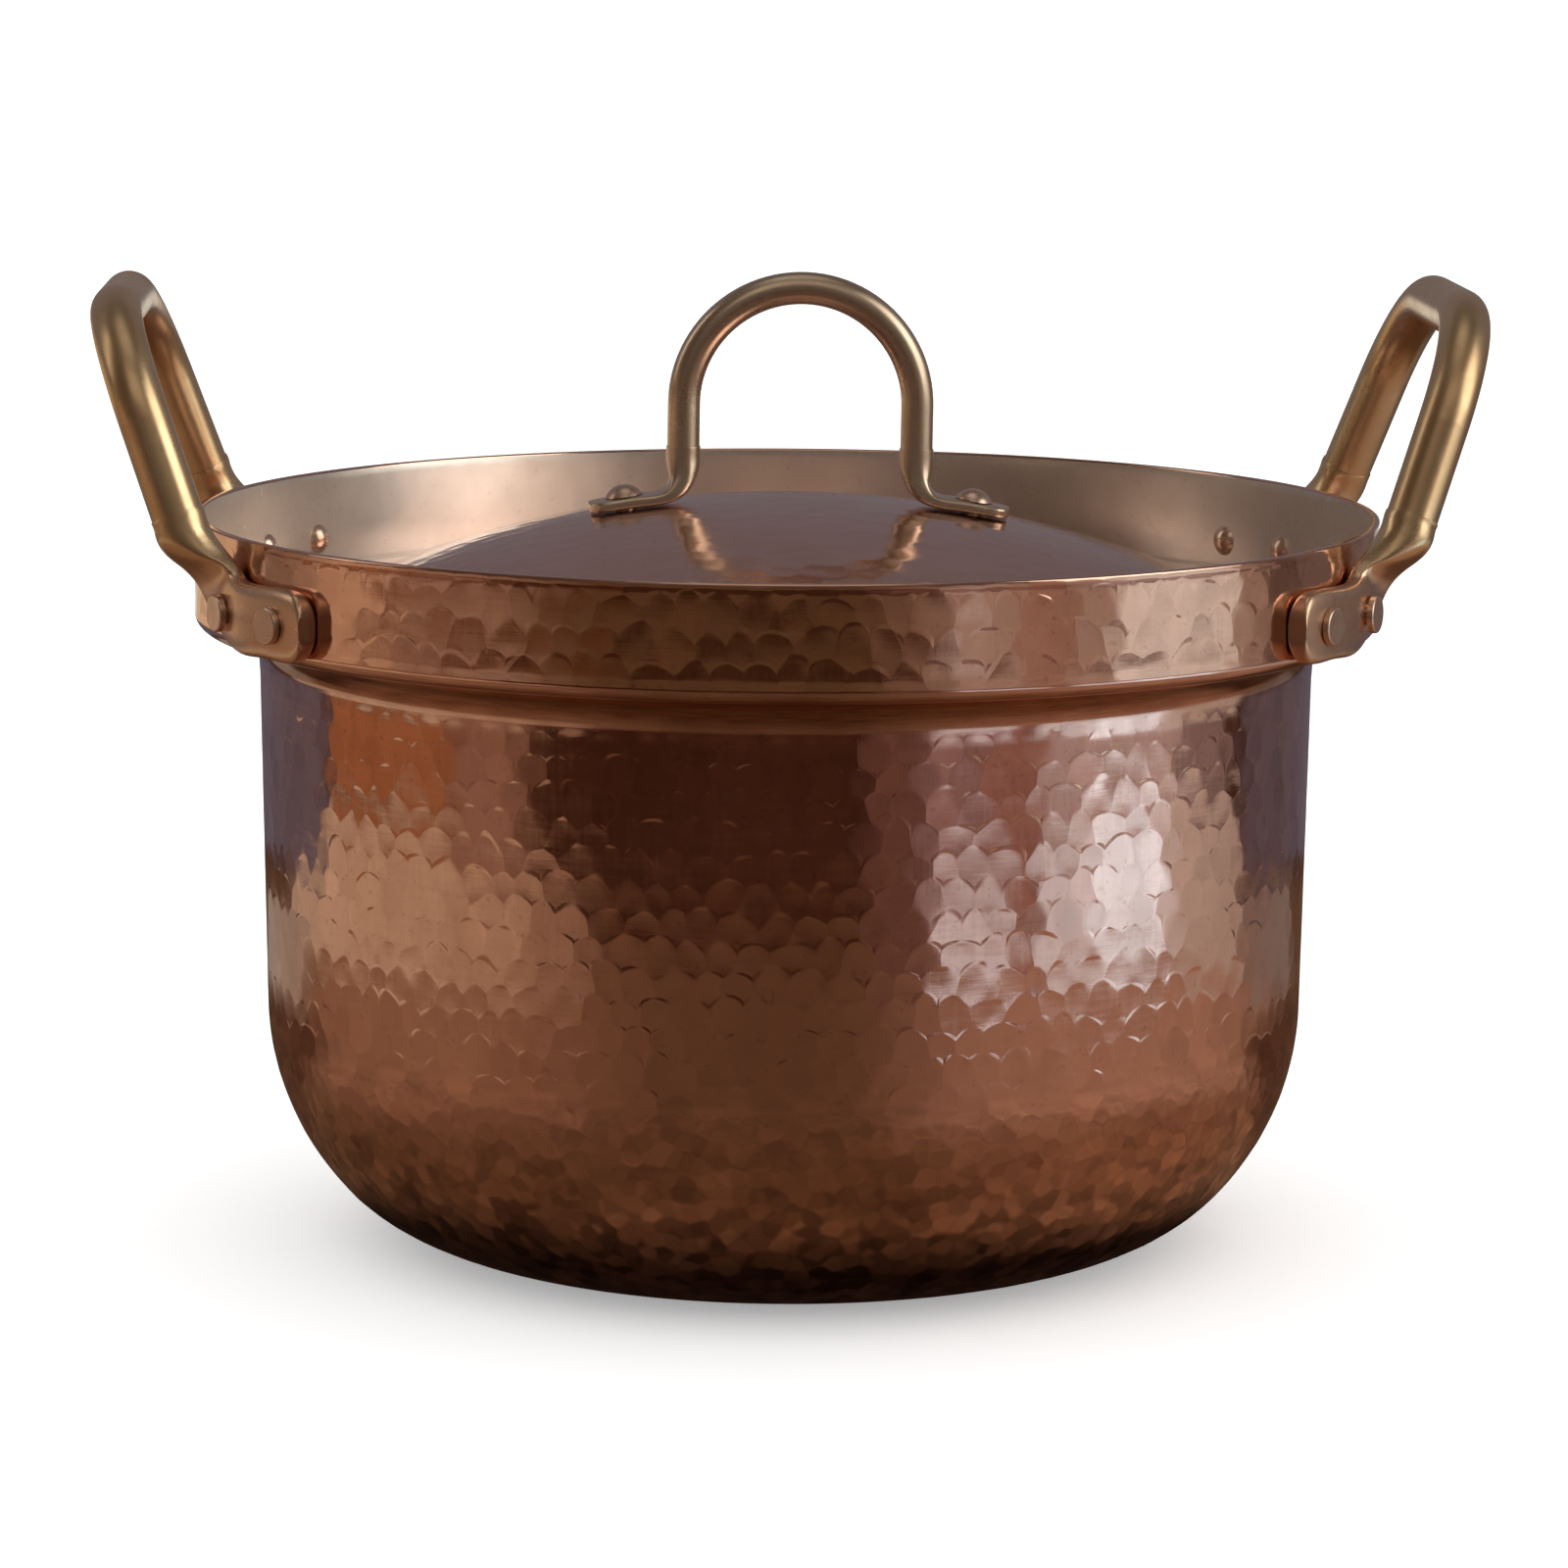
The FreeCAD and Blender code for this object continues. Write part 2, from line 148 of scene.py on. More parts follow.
@dataclass(frozen=True)
class Blow:
    """One mark of the hammer: a shallow dish with its own lean."""

    middle: Vector
    around: Vector
    lean: Vector
    lift: float
    flat: Point
    row: int
    lap: Point

    def order(self, place: Vector, distance: float) -> tuple[int, float]:
        """Order in which blows shape a place, then the height of this one there.

        Args:
            place: Place on the sheet in millimetres.
            distance: Its distance from the middle of the dish.

        Returns:
            Row number where the dish laps over the row above, or else one past every row, and the height.
        """
        past_rows = 1000
        step = place - self.middle
        side = step.dot(self.around) ** 2
        up = max(0.0, distance ** 2 - side)
        height = side / (2 * self.flat[0]) + up / (2 * self.flat[1]) + step.dot(self.lean) + self.lift
        laps = self.lap[0] > 0 and side / self.lap[0] ** 2 + up / self.lap[1] ** 2 < 1
        return (self.row if laps else past_rows), height


@dataclass(frozen=True)
class HammerBlows:
    """Rows of blows along part of a profile, in millimetres; flat has the dish's radii around and up."""

    first: float
    last: float
    seed: int
    pitch: float = 9.0
    spacing: float = 10.0
    jitter: float = 0.2
    flat: Point = (150.0, 150.0)
    tilt: float = 0.0
    count: int = 0
    lap: Point = (0.0, 0.0)
    wander: float = 0.0

    def blows(self, profile: Profile) -> list[Blow]:
        """Every blow of the rows, row by row, on the profile they follow."""
        chance = random.Random(self.seed)
        rows = max(1, round((self.last - self.first) / self.pitch))
        found = []
        for row in range(rows):
            along = self.first + (row + 0.5) * (self.last - self.first) / rows
            radius, level = profile.at(along)
            count = self.count or max(6, round(math.tau * radius / self.spacing))
            for number in range(count):
                wobble = chance.uniform(-1, 1) * self.jitter
                azimuth = math.tau * (number + wobble + 0.5 * (row % 2)) / count
                shift = self.wander * wave(ROCK, azimuth, level * MM) * self.pitch
                azimuth -= self.wander * wave(SWAY, azimuth, level * MM) * math.tau / count
                shift -= chance.uniform(-1, 1) * self.jitter * self.pitch
                radius, height = profile.at(along - shift)
                across, deep = math.cos(azimuth), math.sin(azimuth)
                lean = Vector((chance.gauss(0, 1), chance.gauss(0, 1), chance.gauss(0, 1))) * self.tilt
                lift = chance.uniform(0, 2) * self.tilt
                middle = Vector((radius * across, radius * deep, height))
                found.append(Blow(middle, Vector((-deep, across, 0)), lean, lift, self.flat, row, self.lap))
        return found


@dataclass(frozen=True)
class FaceRows:
    """Regular staggered rows of blows, in millimetres, shared by a mesh and its metal."""

    count: int
    pitch: float
    low: float
    rows: int
    around: float
    up: float
    lean: float
    wide: float
    tall: float
    wander: float = 0.2

    def blows(self, first: float, seed: int) -> HammerBlows:
        """The rows as blows of half depth on a mesh, from a length along its profile."""
        return HammerBlows(first, first + self.pitch * self.rows, seed, self.pitch, jitter=0.0,
                           flat=(self.around * 2, self.up * 2), count=self.count,
                           lap=(self.wide, self.tall), wander=self.wander)


BELLY_ROWS = FaceRows(count=104, pitch=6.9, low=53.8, rows=13, around=118.0, up=280.0, lean=0.012,
                      wide=4.7, tall=4.6)
COLLAR_ROWS = FaceRows(count=114, pitch=7.6, low=154.5, rows=4, around=132.0, up=300.0, lean=0.016,
                       wide=4.8, tall=5.1)


# Turned sheets
@dataclass(frozen=True)
class Skin:
    """One side of a sheet: its half section, its blows, their share of the depth and where they fade.

    They grow and fall between heights, end inside an edge and start beyond a radius, all in millimetres.
    """

    profile: Profile
    blows: tuple[HammerBlows, ...]
    share: float = 1.0
    grow: Point = (-2.0, -1.0)
    fall: Point = (998.0, 999.0)
    edge: Point = (998.0, 999.0)
    beyond: float = 0.0
    neighbours: int = 7

    def fade(self, radius: float, height: float) -> float:
        """Share of the blows' depth at a place."""
        if radius < self.beyond:
            return 0.0
        level = self.share * ramp(height, *self.grow) * (1 - ramp(height, *self.fall))
        return level * (1 - ramp(radius, *self.edge))

    def spun(self, name: str, segments: int) -> Object:
        """Draw the half section point by point and spin it about the pot's axis.

        Args:
            name: Name of the new object.
            segments: Steps of the full turn.

        Returns:
            One open skin, closed at the axis.
        """
        points = self.profile.points
        bpy.ops.object.select_all(action="DESELECT")
        bpy.ops.mesh.primitive_plane_add(size=MM, location=(points[0][0] * MM, 0, points[0][1] * MM))
        piece = bpy.context.active_object
        piece.name = name
        bpy.ops.object.transform_apply(location=True, rotation=True, scale=True)
        bpy.ops.object.mode_set(mode="EDIT")
        bpy.ops.mesh.select_all(action="SELECT")
        bpy.ops.mesh.merge(type="CENTER")
        for before, after in zip(points, points[1:]):
            step = ((after[0] - before[0]) * MM, 0, (after[1] - before[1]) * MM)
            bpy.ops.mesh.extrude_region_move(TRANSFORM_OT_translate={"value": step})
        bpy.ops.mesh.select_all(action="SELECT")
        bpy.ops.mesh.spin(steps=segments, angle=math.tau, center=(0, 0, 0), axis=(0, 0, 1))
        bpy.ops.mesh.select_all(action="SELECT")
        bpy.ops.mesh.remove_doubles(threshold=1e-6)
        bpy.ops.object.mode_set(mode="OBJECT")
        return piece

    def mark(self, piece: Object, group: str, depth: float) -> None:
        """Weight each corner by how deep the hammer went there.

        Args:
            piece: The spun skin.
            group: Name of the vertex group.
            depth: Depth of a whole blow in millimetres.
        """
        hits = [blow for rows in self.blows for blow in rows.blows(self.profile)]
        tree = KDTree(len(hits))
        for number, blow in enumerate(hits):
            tree.insert(blow.middle, number)
        tree.balance()
        weights = piece.vertex_groups.new(name=group)
        for corner in piece.data.vertices:
            place = corner.co / MM
            fade = self.fade(math.hypot(place.x, place.y), place.z)
            if fade <= 0:
                continue
            near = tree.find_n(place, self.neighbours)
            height = min(hits[number].order(place, distance) for _, number, distance in near)[1]
            weights.add([corner.index], min(1.0, max(0.0, 1 - height / depth)) * fade, "REPLACE")


@dataclass
class TurnedSheet:
    """A sheet of copper raised on a stake: two spun skins, joined at the rim and hammered."""

    name: str
    body: Body
    slot: Slot
    outer_segments: int
    inner_segments: int
    depth: float = 0.16
    crease: float = math.radians(38)

    def skins(self) -> tuple[Skin, Skin]:
        """The skin that shows, from the axis to the rim, and the other one, from the rim to the axis."""
        raise NotImplementedError

    def close(self) -> None:
        """Join the two skins where their open edges face each other, in edit mode."""
        bpy.ops.mesh.select_mode(type="EDGE")
        if self.outer_segments == self.inner_segments:
            bpy.ops.mesh.select_all(action="SELECT")
            bpy.ops.mesh.remove_doubles(threshold=1e-6)
            return
        bpy.ops.mesh.select_all(action="DESELECT")
        bpy.ops.mesh.select_non_manifold(extend=False, use_wire=False, use_boundary=True,
                                         use_multi_face=False, use_non_contiguous=False, use_verts=False)
        bpy.ops.mesh.bridge_edge_loops()

    def build(self, finish: Material, lining: Material) -> Object:
        """Spin, mark, join, close and hammer the sheet.

        Args:
            finish: Metal of the skin that shows.
            lining: Metal of the other skin.

        Returns:
            The finished piece.
        """
        names = (self.name, self.name + "_inside")
        groups = {"struck": -self.depth * MM, "raised": self.depth * MM}
        turns = (self.outer_segments, self.inner_segments)
        pieces = []
        for skin, name, turn, group, metal in zip(self.skins(), names, turns, groups, (finish, lining)):
            piece = skin.spun(name, turn)
            skin.mark(piece, group, self.depth)
            piece.data.materials.append(metal)
            pieces.append(piece)
        bpy.ops.object.select_all(action="DESELECT")
        for piece in pieces:
            piece.select_set(True)
        whole = bpy.context.view_layer.objects.active = pieces[0]
        bpy.ops.object.join()
        bpy.ops.object.mode_set(mode="EDIT")
        self.close()
        bpy.ops.mesh.select_all(action="SELECT")
        bpy.ops.mesh.normals_make_consistent(inside=False)
        bpy.ops.mesh.select_mode(type="VERT")
        bpy.ops.object.mode_set(mode="OBJECT")
        for group, strength in groups.items():
            hammer = whole.modifiers.new(group, "DISPLACE")
            hammer.direction = "NORMAL"
            hammer.mid_level = 0.0
            hammer.strength = strength
            hammer.vertex_group = group
            bpy.ops.object.modifier_apply(modifier=hammer.name)
        bpy.ops.object.shade_smooth_by_angle(angle=self.crease)
        return whole


@dataclass(frozen=True)
class PotSection:
    """Half section of the pot: flat base, rounded foot, belly, cove, ledge and tall collar."""

    sheet: float = 2.0
    belly_radius: float = 130.2
    wall_top: float = 144.5
    wall_taper: float = math.radians(1.0)
    foot_radius: float = 46.5
    foot_turn: float = math.radians(47.5)
    flank_radius: float = 67.0
    cove_radius: float = 9.0
    collar_radius: float = 145.98
    lip_radius: float = 3.5
    collar_height: float = 27.7
    rim_edge: float = 0.5
    first_step: float = 4.0

    def marks(self) -> dict[str, float]:
        """Sizes that follow from the named ones."""
        drop = self.flank_radius * (math.cos(self.foot_turn) - math.sin(self.wall_taper))
        wall_low = self.foot_radius * (1 - math.cos(self.foot_turn)) + drop
        wall_low_r = self.belly_radius - math.tan(self.wall_taper) * (self.wall_top - wall_low)
        base_r = (wall_low_r - self.foot_radius * math.sin(self.foot_turn)
                  - self.flank_radius * (math.cos(self.wall_taper) - math.sin(self.foot_turn)))
        cove_r = self.belly_radius + self.cove_radius * math.cos(self.wall_taper)
        cove_z = self.wall_top - self.cove_radius * math.sin(self.wall_taper)
        bottom = cove_z + self.cove_radius
        return {"wall_low": wall_low, "wall_low_r": wall_low_r, "base_r": base_r, "cove_r": cove_r,
                "cove_z": cove_z, "bottom": bottom, "rim": bottom + self.collar_height}

    def seam(self, inset: float) -> Point:
        """Place where the belly ends and the cove starts."""
        m = self.marks()
        reach = self.cove_radius + inset
        return (m["cove_r"] - reach * math.cos(self.wall_taper),
                m["cove_z"] + reach * math.sin(self.wall_taper))

    def low(self, inset: float, coarse: float) -> list[Point]:
        """Half section of one skin from the axis to the seam.

        Args:
            inset: Distance inwards from the outside.
            coarse: Share of the fine number of points.

        Returns:
            Points from the axis upwards.
        """
        m = self.marks()
        flank = (m["wall_low_r"] - self.flank_radius * math.cos(self.wall_taper),
                 m["wall_low"] + self.flank_radius * math.sin(self.wall_taper))
        turned = self.foot_turn - QUARTER
        points = [(0.0, inset), (self.first_step, inset)]
        points += run(points[-1], (m["base_r"], inset), 3)
        points += arc((m["base_r"], self.foot_radius), self.foot_radius - inset, -QUARTER, turned,
                      round(25 * coarse))
        points += arc(flank, self.flank_radius - inset, turned, -self.wall_taper, round(33 * coarse))
        return points + run(points[-1], self.seam(inset), round(58 * coarse))

    def high(self, inset: float, coarse: float) -> list[Point]:
        """Half section of one skin from the seam to the collar's top.

        Args:
            inset: Distance inwards from the outside.
            coarse: Share of the fine number of points.

        Returns:
            Points from the seam upwards.
        """
        m = self.marks()
        lip = (self.collar_radius - self.lip_radius, m["bottom"] + self.lip_radius)
        points = [self.seam(inset)]
        points += arc((m["cove_r"], m["cove_z"]), self.cove_radius + inset, math.pi - self.wall_taper,
                      QUARTER, round(14 * coarse))
        points += run(points[-1], (lip[0], m["bottom"] + inset), 2)
        points += arc(lip, self.lip_radius - inset, -QUARTER, 0, round(8 * coarse))
        return points + run(points[-1], (self.collar_radius - inset, m["rim"] - self.rim_edge),
                            round(20 * coarse))


@dataclass
class PotBowl(TurnedSheet):
    """Base, foot and belly of the pot, up to the cove."""

    section: PotSection = PotSection()
    plain_base: float = 70.0

    def skins(self) -> tuple[Skin, Skin]:
        """Uneven blows low down and rows on the belly outside, softer marks inside, none on the base."""
        s = self.section
        top = s.wall_top
        outer = Profile(s.low(0.0, 1.0))
        inner = Profile(s.low(s.sheet, 0.4)[::-1])
        foot, belly = outer.reach(1.0), outer.reach(BELLY_ROWS.low)
        uneven = HammerBlows(foot, belly, 11, pitch=5.6, spacing=6.8, flat=(180.0, 110.0), tilt=0.008)
        soft = HammerBlows(0.0, inner.lengths[-1] - self.plain_base, 14, tilt=0.006)
        return (Skin(outer, (uneven, BELLY_ROWS.blows(belly, 12)), grow=(0.3, 4.0), fall=(top - 3.0, top)),
                Skin(inner, (soft,), share=0.5, grow=(s.sheet, 8.0), fall=(top - 6.0, top - 1.0)))


@dataclass
class PotCollar(TurnedSheet):
    """Cove, ledge and tall collar of the pot, whose inside shows above the lid."""

    section: PotSection = PotSection()

    def skins(self) -> tuple[Skin, Skin]:
        """Regular rows outside and softer marks inside, none on the cove, the ledge and the rim."""
        s = self.section
        bottom, rim = s.marks()["bottom"], s.marks()["rim"]
        wall, edge = s.collar_radius - s.sheet, s.rim_edge
        points = s.high(0.0, 1.0)
        points += arc((s.collar_radius - edge, rim - edge), edge, 0, QUARTER, 3)
        points += run(points[-1], (wall + edge, rim), 2)
        outer = Profile(points + arc((wall + edge, rim - edge), edge, QUARTER, math.pi, 3))
        inner = Profile(s.high(s.sheet, 0.6)[::-1] + [s.seam(0.0)])
        soft = HammerBlows(0.0, 24.0, 15, pitch=7.6, spacing=9.0, flat=(200.0, 300.0), tilt=0.004)
        return (Skin(outer, (COLLAR_ROWS.blows(outer.reach(COLLAR_ROWS.low), 13),),
                     grow=(bottom + 2.6, bottom + 5.0), fall=(rim - 2.0, rim - 0.5),
                     beyond=s.collar_radius - 0.3),
                Skin(inner, (soft,), share=0.4, grow=(bottom + 8.0, bottom + 12.0), fall=(rim - 4.0, rim)))


@dataclass
class Lid(TurnedSheet):
    """Dome with a flat flange that rests on the ledge."""

    sheet: float = 1.5
    flange_z: float = 157.143
    apex_z: float = 184.143
    dome_radius: float = 275.0
    join_radius: float = 6.0
    lid_radius: float = 141.28
    edge: float = 0.4
    apex_turn: float = 0.012

    def side(self, inset: float, coarse: float) -> list[Point]:
        """Half section of one skin from the apex to the flange.

        Args:
            inset: Distance downwards from the top skin.
            coarse: Share of the fine number of points.

        Returns:
            Points from the axis outwards.
        """
        centre = (0.0, self.apex_z - self.dome_radius)
        join_height = self.flange_z + self.join_radius - centre[1]
        reach = self.dome_radius + self.join_radius
        join = (math.sqrt(reach ** 2 - join_height ** 2), self.flange_z + self.join_radius)
        angle = math.atan2(join_height, join[0])
        first = QUARTER - self.apex_turn
        points = [(0.0, self.apex_z - inset)]
        points += arc(centre, self.dome_radius - inset, QUARTER, first, 1)
        points += arc(centre, self.dome_radius - inset, first, angle, round(80 * coarse))
        points += arc(join, self.join_radius + inset, angle - math.pi, -QUARTER, max(3, round(6 * coarse)))
        return points + run(points[-1], (self.lid_radius - self.edge, self.flange_z - inset), 3)

    def skins(self) -> tuple[Skin, Skin]:
        """Rings of blows about the apex and softer marks below, none on the flange."""
        rim, low = self.lid_radius - self.edge, self.flange_z - self.sheet
        above = self.side(0.0, 1.0) + arc((rim, self.flange_z - self.edge), self.edge, QUARTER, 0, 3)
        above += run(above[-1], (self.lid_radius, self.flange_z - self.sheet / 2), 1)
        below = [(self.lid_radius, low + self.edge)]
        below += arc((rim, low + self.edge), self.edge, 0, -QUARTER, 3) + self.side(self.sheet, 0.5)[-2::-1]
        rings = HammerBlows(6.0, 126.0, 21, pitch=7.4, spacing=8.2, jitter=0.12, flat=(400.0, 400.0),
                            tilt=0.003)
        soft = HammerBlows(12.0, 134.0, 22, tilt=0.005)
        return (Skin(Profile(above), (rings,), edge=(116.0, 123.0)),
                Skin(Profile(below), (soft,), share=0.5, edge=(112.0, 120.0)))


# Shader helpers
class Value:
    """Output of a node, which adds and multiplies like a plain number."""

    def __init__(self, graph: "Graph", socket: NodeSocket) -> None:
        """Keep the graph and the output socket."""
        self.graph = graph
        self.socket = socket

    def __add__(self, other: object) -> "Value":
        """Sum."""
        return self.graph.math("ADD", self, other)

    def __sub__(self, other: object) -> "Value":
        """Difference."""
        return self.graph.math("SUBTRACT", self, other)

    def __mul__(self, other: object) -> "Value":
        """Product."""
        return self.graph.math("MULTIPLY", self, other)

    def __truediv__(self, other: object) -> "Value":
        """Quotient."""
        return self.graph.math("DIVIDE", self, other)


class Graph:
    """A node tree with short ways to add and join nodes."""

    def __init__(self, tree: NodeTree) -> None:
        """Keep the tree."""
        self.tree = tree

    def node(self, kind: str, sources: dict[int | str, object], **settings: object) -> Node:
        """Add a shader node.

        Args:
            kind: Kind of node, as Blender names it after ShaderNode.
            sources: What feeds each input, by its number or name.
            settings: Options of the node by name.

        Returns:
            The new node.
        """
        added = self.tree.nodes.new("ShaderNode" + kind)
        for name, value in settings.items():
            setattr(added, name, value)
        for key, source in sources.items():
            self.feed(added.inputs[key], source)
        return added

    def feed(self, target: NodeSocket, source: object) -> None:
        """Join an input to a value or an output socket, or give it a plain number or colour."""
        source = source.socket if isinstance(source, Value) else source
        if isinstance(source, NodeSocket):
            self.tree.links.new(source, target)
        else:
            target.default_value = (*source, 1.0) if target.type == "RGBA" else source

    def value(self, kind: str, sources: dict[int | str, object], result: int | str = 0,
              **settings: object) -> Value:
        """One output of a new node."""
        return Value(self, self.node(kind, sources, **settings).outputs[result])

    def math(self, operation: str, *sources: object) -> Value:
        """Result of one sum on one to three values."""
        return self.value("Math", dict(enumerate(sources)), operation=operation)

    def blend(self, share: object, first: object, second: object) -> Value:
        """Colour between two colours."""
        return self.value("Mix", {0: share, 6: first, 7: second}, 2, data_type="RGBA")

    def between(self, share: object, first: object, second: object) -> Value:
        """Value between two values."""
        return self.value("Mix", {0: share, 2: first, 3: second}, data_type="FLOAT")

    def scaled(self, colour: object, factor: object) -> Value:
        """Colour made lighter or darker by a factor."""
        return self.value("VectorMath", {0: colour, "Scale": factor}, operation="SCALE")

    def remap(self, value: Value, low: float, high: float, to_low: float = 0.0,
              to_high: float = 1.0) -> Value:
        """Value moved smoothly from one range to another."""
        sources = dict(enumerate((value, low, high, to_low, to_high)))
        return self.value("MapRange", sources, interpolation_type="SMOOTHSTEP")

    def inside(self, value: Value, low: Value, high: Value, soft: Value) -> Value:
        """Mask that is 1 between two values and fades over a width at each."""
        return self.remap((value - low) / soft, -0.5, 0.5) * self.remap((high - value) / soft, -0.5, 0.5)

    def noise(self, place: object, scale: object, detail: float, rough: float = 0.5) -> Value:
        """Plain noise value at a place."""
        return self.value("TexNoise", {"Vector": place, "Scale": scale, "Detail": detail, "Roughness": rough})

    def place(self, scale: Triple = (1.0, 1.0, 1.0)) -> Value:
        """Object coordinates through a Mapping node."""
        return self.value("Mapping", {"Vector": self.value("TexCoord", {}, "Object"), "Scale": scale})

    def split(self, place: Value) -> list[Value]:
        """The x, y and z of a place."""
        return [Value(self, socket) for socket in self.node("SeparateXYZ", {0: place}).outputs]

    def use(self, group: NodeTree, **values: object) -> list[Value]:
        """Outputs of a shared effect with its own values; underscores stand for spaces."""
        sources = {name.replace("_", " "): value for name, value in values.items()}
        return [Value(self, socket) for socket in self.node("Group", sources, node_tree=group).outputs]

    def give(self, *sources: Value) -> NodeTree:
        """Feed the outputs of a shared effect in order, and hand over its tree."""
        for target, source in zip(self.tree.nodes.new("NodeGroupOutput").inputs, sources):
            self.feed(target, source)
        return self.tree


def new_group(name: str, outputs: tuple[str, ...], **inputs: float) -> tuple[Graph, dict[str, Value]]:
    """Start a shader node group.

    Args:
        name: Name of the group.
        outputs: Names of its outputs.
        inputs: Starting value of each input; underscores stand for spaces.

    Returns:
        Graph of the group, and its inputs by name.
    """
    tree = bpy.data.node_groups.new(name, "ShaderNodeTree")
    for title, value in inputs.items():
        socket = tree.interface.new_socket(title.replace("_", " "), in_out="INPUT",
                                           socket_type="NodeSocketFloat")
        socket.default_value = value
    for title in outputs:
        tree.interface.new_socket(title, in_out="OUTPUT", socket_type="NodeSocketFloat")
    graph = Graph(tree)
    given = tree.nodes.new("NodeGroupInput").outputs
    return graph, {title: Value(graph, socket) for title, socket in zip(inputs, given)}


class Effects:
    """Effects that more than one finish uses, each built once."""

    @cached_property
    def patina(self) -> NodeTree:
        """Cloudy tarnish with small spots."""
        graph, given = new_group("tarnish", ("Cloud", "Spot"), Scale=30.0, Spots=400.0, Seed=0.0)
        shift = graph.value("CombineXYZ", dict.fromkeys(range(3), given["Seed"]))
        moved = graph.value("VectorMath", {0: graph.place(), 1: shift}, operation="ADD")
        cloud = graph.noise(moved, given["Scale"], 5.0, 0.6)
        spot = graph.noise(moved, given["Spots"], 2.0, 0.6)
        return graph.give(graph.remap(cloud, 0.35, 0.68), graph.remap(spot, 0.62, 0.74))

    @cached_property
    def polish(self) -> NodeTree:
        """Fine rubbed lines and the soft waviness of hand-polished metal."""
        graph, given = new_group("hand_polish", ("Height", "Rub"), Fineness=900.0)
        lines = graph.noise(graph.place((1.0, 1.0, 0.06)), given["Fineness"], 3.0, 0.7)
        cross = graph.noise(graph.place((0.08, 0.08, 1.0)), given["Fineness"], 3.0, 0.7)
        rubbed = lines * 0.5 + cross * 0.5
        waves = graph.noise(graph.place(), 180.0, 2.0)
        return graph.give(waves * 1.4 + rubbed, graph.remap(rubbed, 0.4, 0.62))

    @cached_property
    def band(self) -> NodeTree:
        """Mask that is 1 between two heights of the pot, in metres."""
        graph, given = new_group("height_band", ("Mask",), Low=0.0, High=0.1, Soft=0.01, Wander=0.004)
        wander = (graph.noise(graph.place(), 40.0, 3.0) - 0.5) * given["Wander"]
        height = graph.split(graph.place())[2] + wander
        return graph.give(graph.inside(height, given["Low"], given["High"], given["Soft"]))

    @cached_property
    def patch(self) -> NodeTree:
        """Soft-edged patch of a studio card, in degrees of azimuth and a second measure."""
        graph, given = new_group("card_patch", ("Mask",), Azimuth=0.0, Measure=0.0, Towards=0.0,
                                 Half_Turn=20.0, Turn_Soft=6.0, Low=0.0, High=1.0, Soft=0.1)
        away = graph.math("WRAP", given["Azimuth"] - given["Towards"], 180.0, -180.0)
        turn = (given["Half_Turn"] - graph.math("ABSOLUTE", away)) / given["Turn_Soft"]
        ends = graph.inside(given["Measure"], given["Low"], given["High"], given["Soft"])
        return graph.give(graph.remap(turn, -0.5, 0.5) * ends)

    @cached_property
    def rows(self) -> NodeTree:
        """Height of staggered rows of shallow dishes about the pot's axis, in metres.

        Each dish laps over the row above with a rounded top, as later blows do.
        """
        graph, given = new_group("hammer_rows", ("Height",), Count=100.0, Pitch=0.007, First=0.04,
                                 Around=0.12, Up=0.2, Lean=0.01, Wide=0.004, Tall=0.0045, Wander=0.2)
        x, y, z = graph.split(graph.place())
        azimuth = graph.math("ARCTAN2", y, x)
        cells = given["Count"] / math.tau
        width = graph.math("SQRT", x * x + y * y) / cells
        turn = azimuth * cells + self.sway(graph, SWAY, azimuth, z) * given["Wander"]
        rise = (z - given["First"]) / given["Pitch"] + self.sway(graph, ROCK, azimuth, z) * given["Wander"]
        levels = []
        for step in (1.0, 0.0):
            row = graph.math("FLOOR", rise) + step
            along = turn - graph.math("FLOORED_MODULO", row, 2.0) * 0.5
            nearest = graph.math("FLOOR", along + 0.5)
            beside = nearest + graph.math("SIGN", along - nearest)
            up = (rise - row) * given["Pitch"]
            dishes = [self.dish(graph, given, cell, row, (along - cell) * width, up)
                      for cell in (nearest, beside)]
            levels.append(graph.math("MINIMUM", *dishes))
        across, above = (along - nearest) * width / given["Wide"], up / given["Tall"]
        lapped = graph.remap(across * across + above * above, 0.72, 1.28, 1.0, 0.0)
        return graph.give(graph.between(lapped, *levels))

    @staticmethod
    def sway(graph: Graph, ripples: tuple[Ripple, ...], azimuth: Value, height: Value) -> Value:
        """Sum of ripples in nodes, the same as on the mesh."""
        angles = [azimuth * float(part.turns) + (height * part.rate + part.phase) for part in ripples]
        waves = [graph.math("SINE", angle) * part.share for angle, part in zip(angles, ripples)]
        return sum(waves[1:], waves[0])

    @staticmethod
    def dish(graph: Graph, given: dict[str, Value], cell: Value, row: Value, side: Value, up: Value) -> Value:
        """Height of one dish with a lean of its own.

        Args:
            graph: Graph of the group.
            given: Inputs of the group by name.
            cell: Number of the dish in its row.
            row: Number of the row.
            side: Distance from the dish's middle around the pot.
            up: Distance from its middle upwards.

        Returns:
            Height in metres.
        """
        name = graph.value("CombineXYZ", {0: graph.math("FLOORED_MODULO", cell, given["Count"]), 1: row})
        chance = graph.value("TexWhiteNoise", {"Vector": name}, "Color", noise_dimensions="3D")
        leans = graph.node("SeparateColor", {0: chance}).outputs
        heights = [distance * ((Value(graph, lean) - 0.5) * given["Lean"] + distance * 0.5 / given[flat])
                   for distance, flat, lean in ((side, "Around", leans[0]), (up, "Up", leans[1]))]
        return heights[0] + heights[1]

